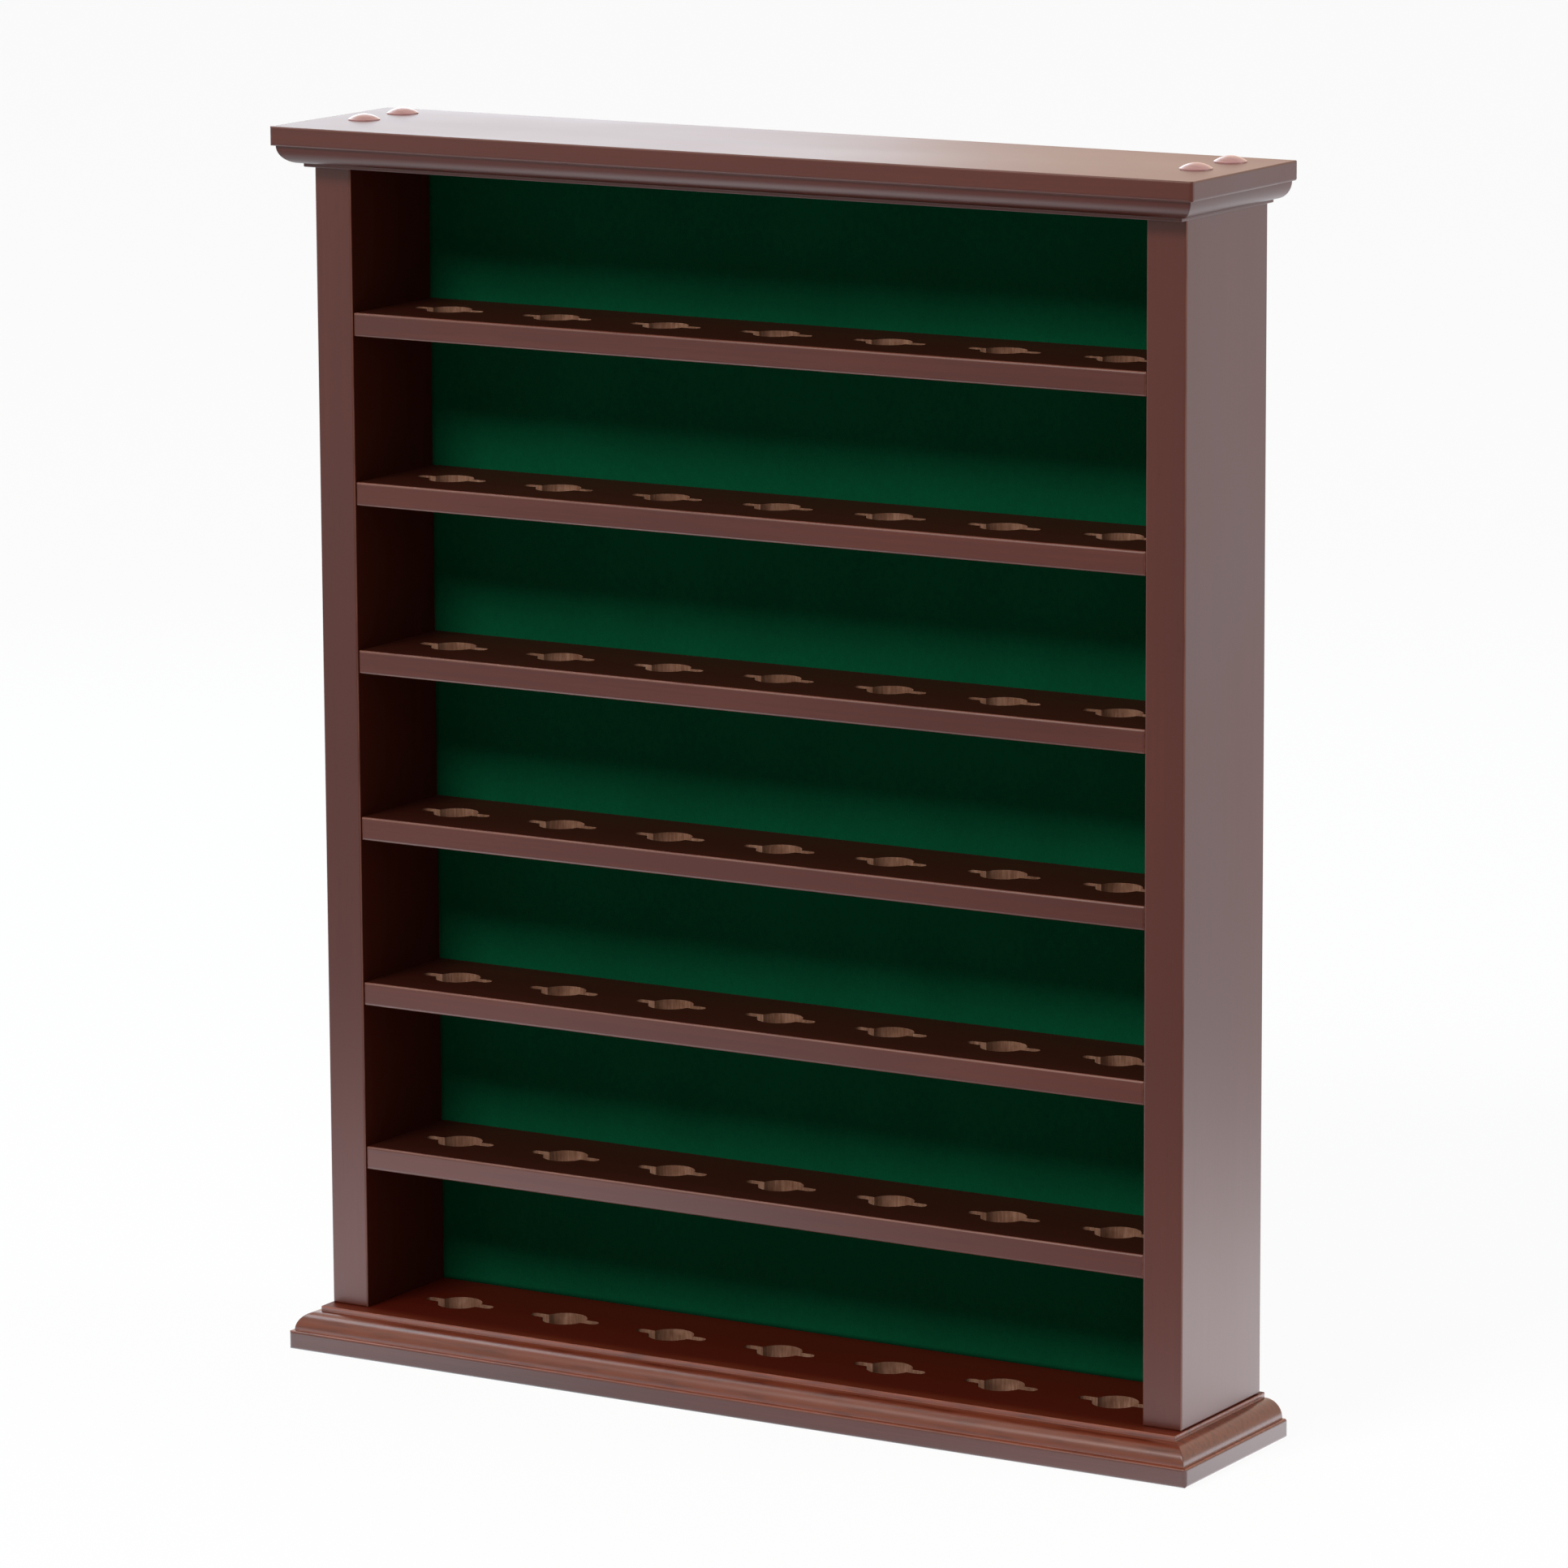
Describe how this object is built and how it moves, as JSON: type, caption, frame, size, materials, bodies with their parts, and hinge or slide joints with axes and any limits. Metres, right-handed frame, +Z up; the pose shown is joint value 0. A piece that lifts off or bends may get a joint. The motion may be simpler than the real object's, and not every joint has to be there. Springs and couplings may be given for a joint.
{
  "type": "golf ball display case",
  "caption": "Open wooden wall or table case with pocketed shelves for golf balls, a moulded base and cap, and a felt-lined back.",
  "frame": {"origin": "centre of the case's footprint, on the surface that it stands on", "axes": "+X along the shelves, to the right of a viewer who faces the open front; +Y from the open front to the back; +Z up"},
  "size_m": [0.4136, 0.0842, 0.5011],
  "materials": {
    "stained_wood": "dark cherry stain under satin lacquer, fine straight grain; pocket walls raw",
    "plug_wood": "turned plug, redder stain, glossy lacquer",
    "raw_wood": "bare birch",
    "green_felt": "matt short-napped felt",
    "hardboard": "smooth brown hardboard",
    "zinc_steel": "zinc plated"
  },
  "bodies": {
    "root": {"base_board": "stained_wood", "top_board": "stained_wood", "left_side_panel": "stained_wood", "right_side_panel": "stained_wood", "shelf_1": "stained_wood", "shelf_2": "stained_wood", "shelf_3": "stained_wood", "shelf_4": "stained_wood", "shelf_5": "stained_wood", "shelf_6": "stained_wood", "felt_lining": "green_felt", "back_board": "hardboard", "button_plugs": "plug_wood", "top_screws": "zinc_steel", "base_screws": "zinc_steel", "left_shelf_dowels": "raw_wood", "right_shelf_dowels": "raw_wood", "back_board_brads": "zinc_steel"}
  },
  "joints": []
}
